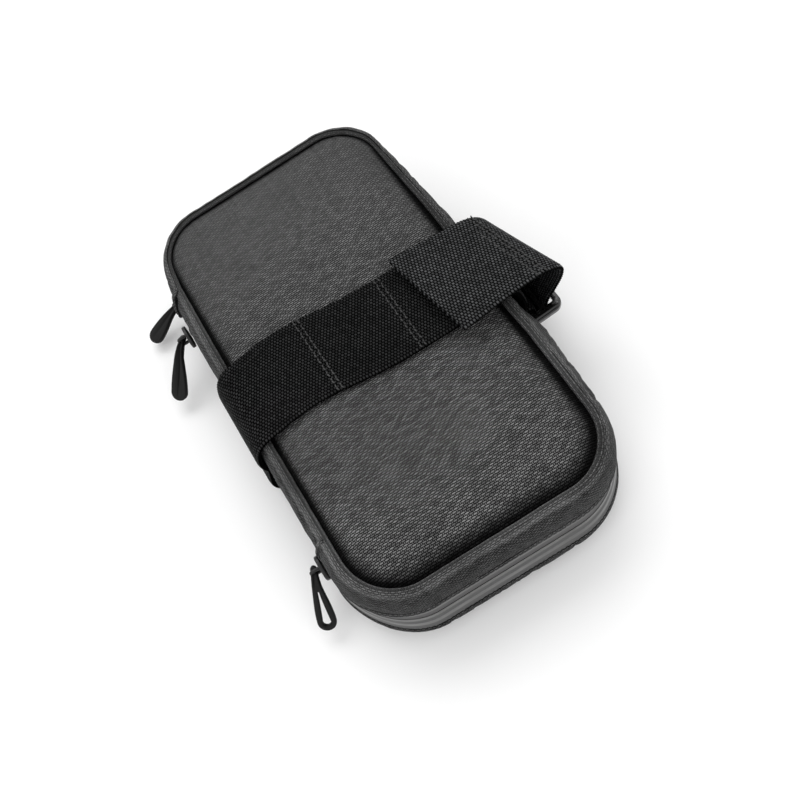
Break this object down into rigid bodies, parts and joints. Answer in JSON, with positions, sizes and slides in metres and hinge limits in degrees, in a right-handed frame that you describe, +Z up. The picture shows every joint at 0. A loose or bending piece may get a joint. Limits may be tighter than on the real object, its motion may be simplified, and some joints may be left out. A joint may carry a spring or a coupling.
{
  "type": "saddle bag",
  "caption": "Zipped clamshell saddle bag of woven nylon with a webbing strap, side buckle and fold-back hook-and-loop tail.",
  "frame": {"origin": "middle of the strap's underside, level with the flat base that the bag lies on", "axes": "+Z up through the lid, +Y along the bag to the far end, +X towards the buckle, -X towards the hinge panel and zip pulls"},
  "size_m": [0.134, 0.1681, 0.0456],
  "materials": {
    "shell_fabric": "coarse basket-weave nylon, faint sheen",
    "gusset_fabric": "plain-weave nylon, soft",
    "webbing": "ribbed polyester webbing",
    "coated_tape": "coated zip tape, smooth satin",
    "zip_coil": "nylon coil",
    "slider_metal": "black lacquered zinc",
    "pull_rubber": "soft moulded, matte",
    "buckle_plastic": "moulded acetal, glossy",
    "foam": "closed-cell foam",
    "stiffener": "sheet polyethylene",
    "lining": "smooth taffeta lining",
    "pocket_mesh": "knitted mesh",
    "elastic": "ribbed elastic binding",
    "hook_and_loop": "hook and loop pile"
  },
  "bodies": {
    "tray": {"bottom_panel": "shell_fabric", "bottom_foam": "foam", "bottom_stiffener": "stiffener", "tray_lining": "lining", "lower_gusset": "gusset_fabric", "lower_zip_tape": "coated_tape", "lower_zip_coil": "zip_coil", "hinge_panel_lower": "gusset_fabric", "pocket_zip_tape": "coated_tape", "strap_lower_run": "webbing"},
    "lid": {"top_panel": "shell_fabric", "top_foam": "foam", "top_stiffener": "stiffener", "lid_lining": "lining", "top_edge_roll": "gusset_fabric", "upper_gusset": "gusset_fabric", "upper_zip_tape": "coated_tape", "upper_zip_coil": "zip_coil", "hinge_panel_upper": "gusset_fabric", "lid_mesh_pocket": "pocket_mesh", "lid_pocket_elastic": "elastic", "strap_top_run": "webbing", "strap_tail_leg": "webbing", "strap_loop_patch": "hook_and_loop"},
    "buckle": {"buckle_frame": "buckle_plastic"},
    "tail": {"strap_tail": "webbing", "tail_hook_patch": "hook_and_loop"},
    "near_slider": {"near_slider": "slider_metal"},
    "near_pull": {"near_pull": "pull_rubber"},
    "far_slider": {"far_slider": "slider_metal"},
    "far_pull": {"far_pull": "pull_rubber"},
    "pocket_slider": {"pocket_slider": "slider_metal"},
    "pocket_pull": {"pocket_pull": "pull_rubber"}
  },
  "joints": [
    {"name": "lid_hinge", "type": "hinge", "parent": "tray", "child": "lid", "pos_m": [-0.0508, 0, 0.022], "axis": [0, -1, 0], "range_deg": [0, 100]},
    {"name": "buckle_swivel", "type": "hinge", "parent": "lid", "child": "buckle", "pos_m": [0.0526, -0.0025, 0.017], "axis": [0, -1, 0], "range_deg": [-6, 5]},
    {"name": "tail_peel", "type": "hinge", "parent": "lid", "child": "tail", "pos_m": [0.0621, -0.0025, 0.0346], "axis": [0, 1, 0], "range_deg": [0, 120]},
    {"name": "near_slider_travel", "type": "slide", "parent": "tray", "child": "near_slider", "axis": [0, -1, 0], "range_m": [0, 0.006]},
    {"name": "near_pull_flip", "type": "hinge", "parent": "near_slider", "child": "near_pull", "pos_m": [-0.0537, -0.054, 0.017], "axis": [0, 0, 1], "range_deg": [-110, 20]},
    {"name": "far_slider_travel", "type": "slide", "parent": "tray", "child": "far_slider", "axis": [0, 1, 0], "range_m": [0, 0.008]},
    {"name": "far_pull_flip", "type": "hinge", "parent": "far_slider", "child": "far_pull", "pos_m": [-0.0537, 0.048, 0.017], "axis": [0, 0, 1], "range_deg": [-50, 40]},
    {"name": "pocket_slider_travel", "type": "hinge", "parent": "tray", "child": "pocket_slider", "pos_m": [-0.025, 0.0605, 0.0076], "axis": [0, 0, -1], "range_deg": [0, 66]},
    {"name": "pocket_pull_flip", "type": "hinge", "parent": "pocket_slider", "child": "pocket_pull", "pos_m": [-0.04971, 0.0695, 0.0076], "axis": [0, 0, 1], "range_deg": [-60, 35]}
  ]
}
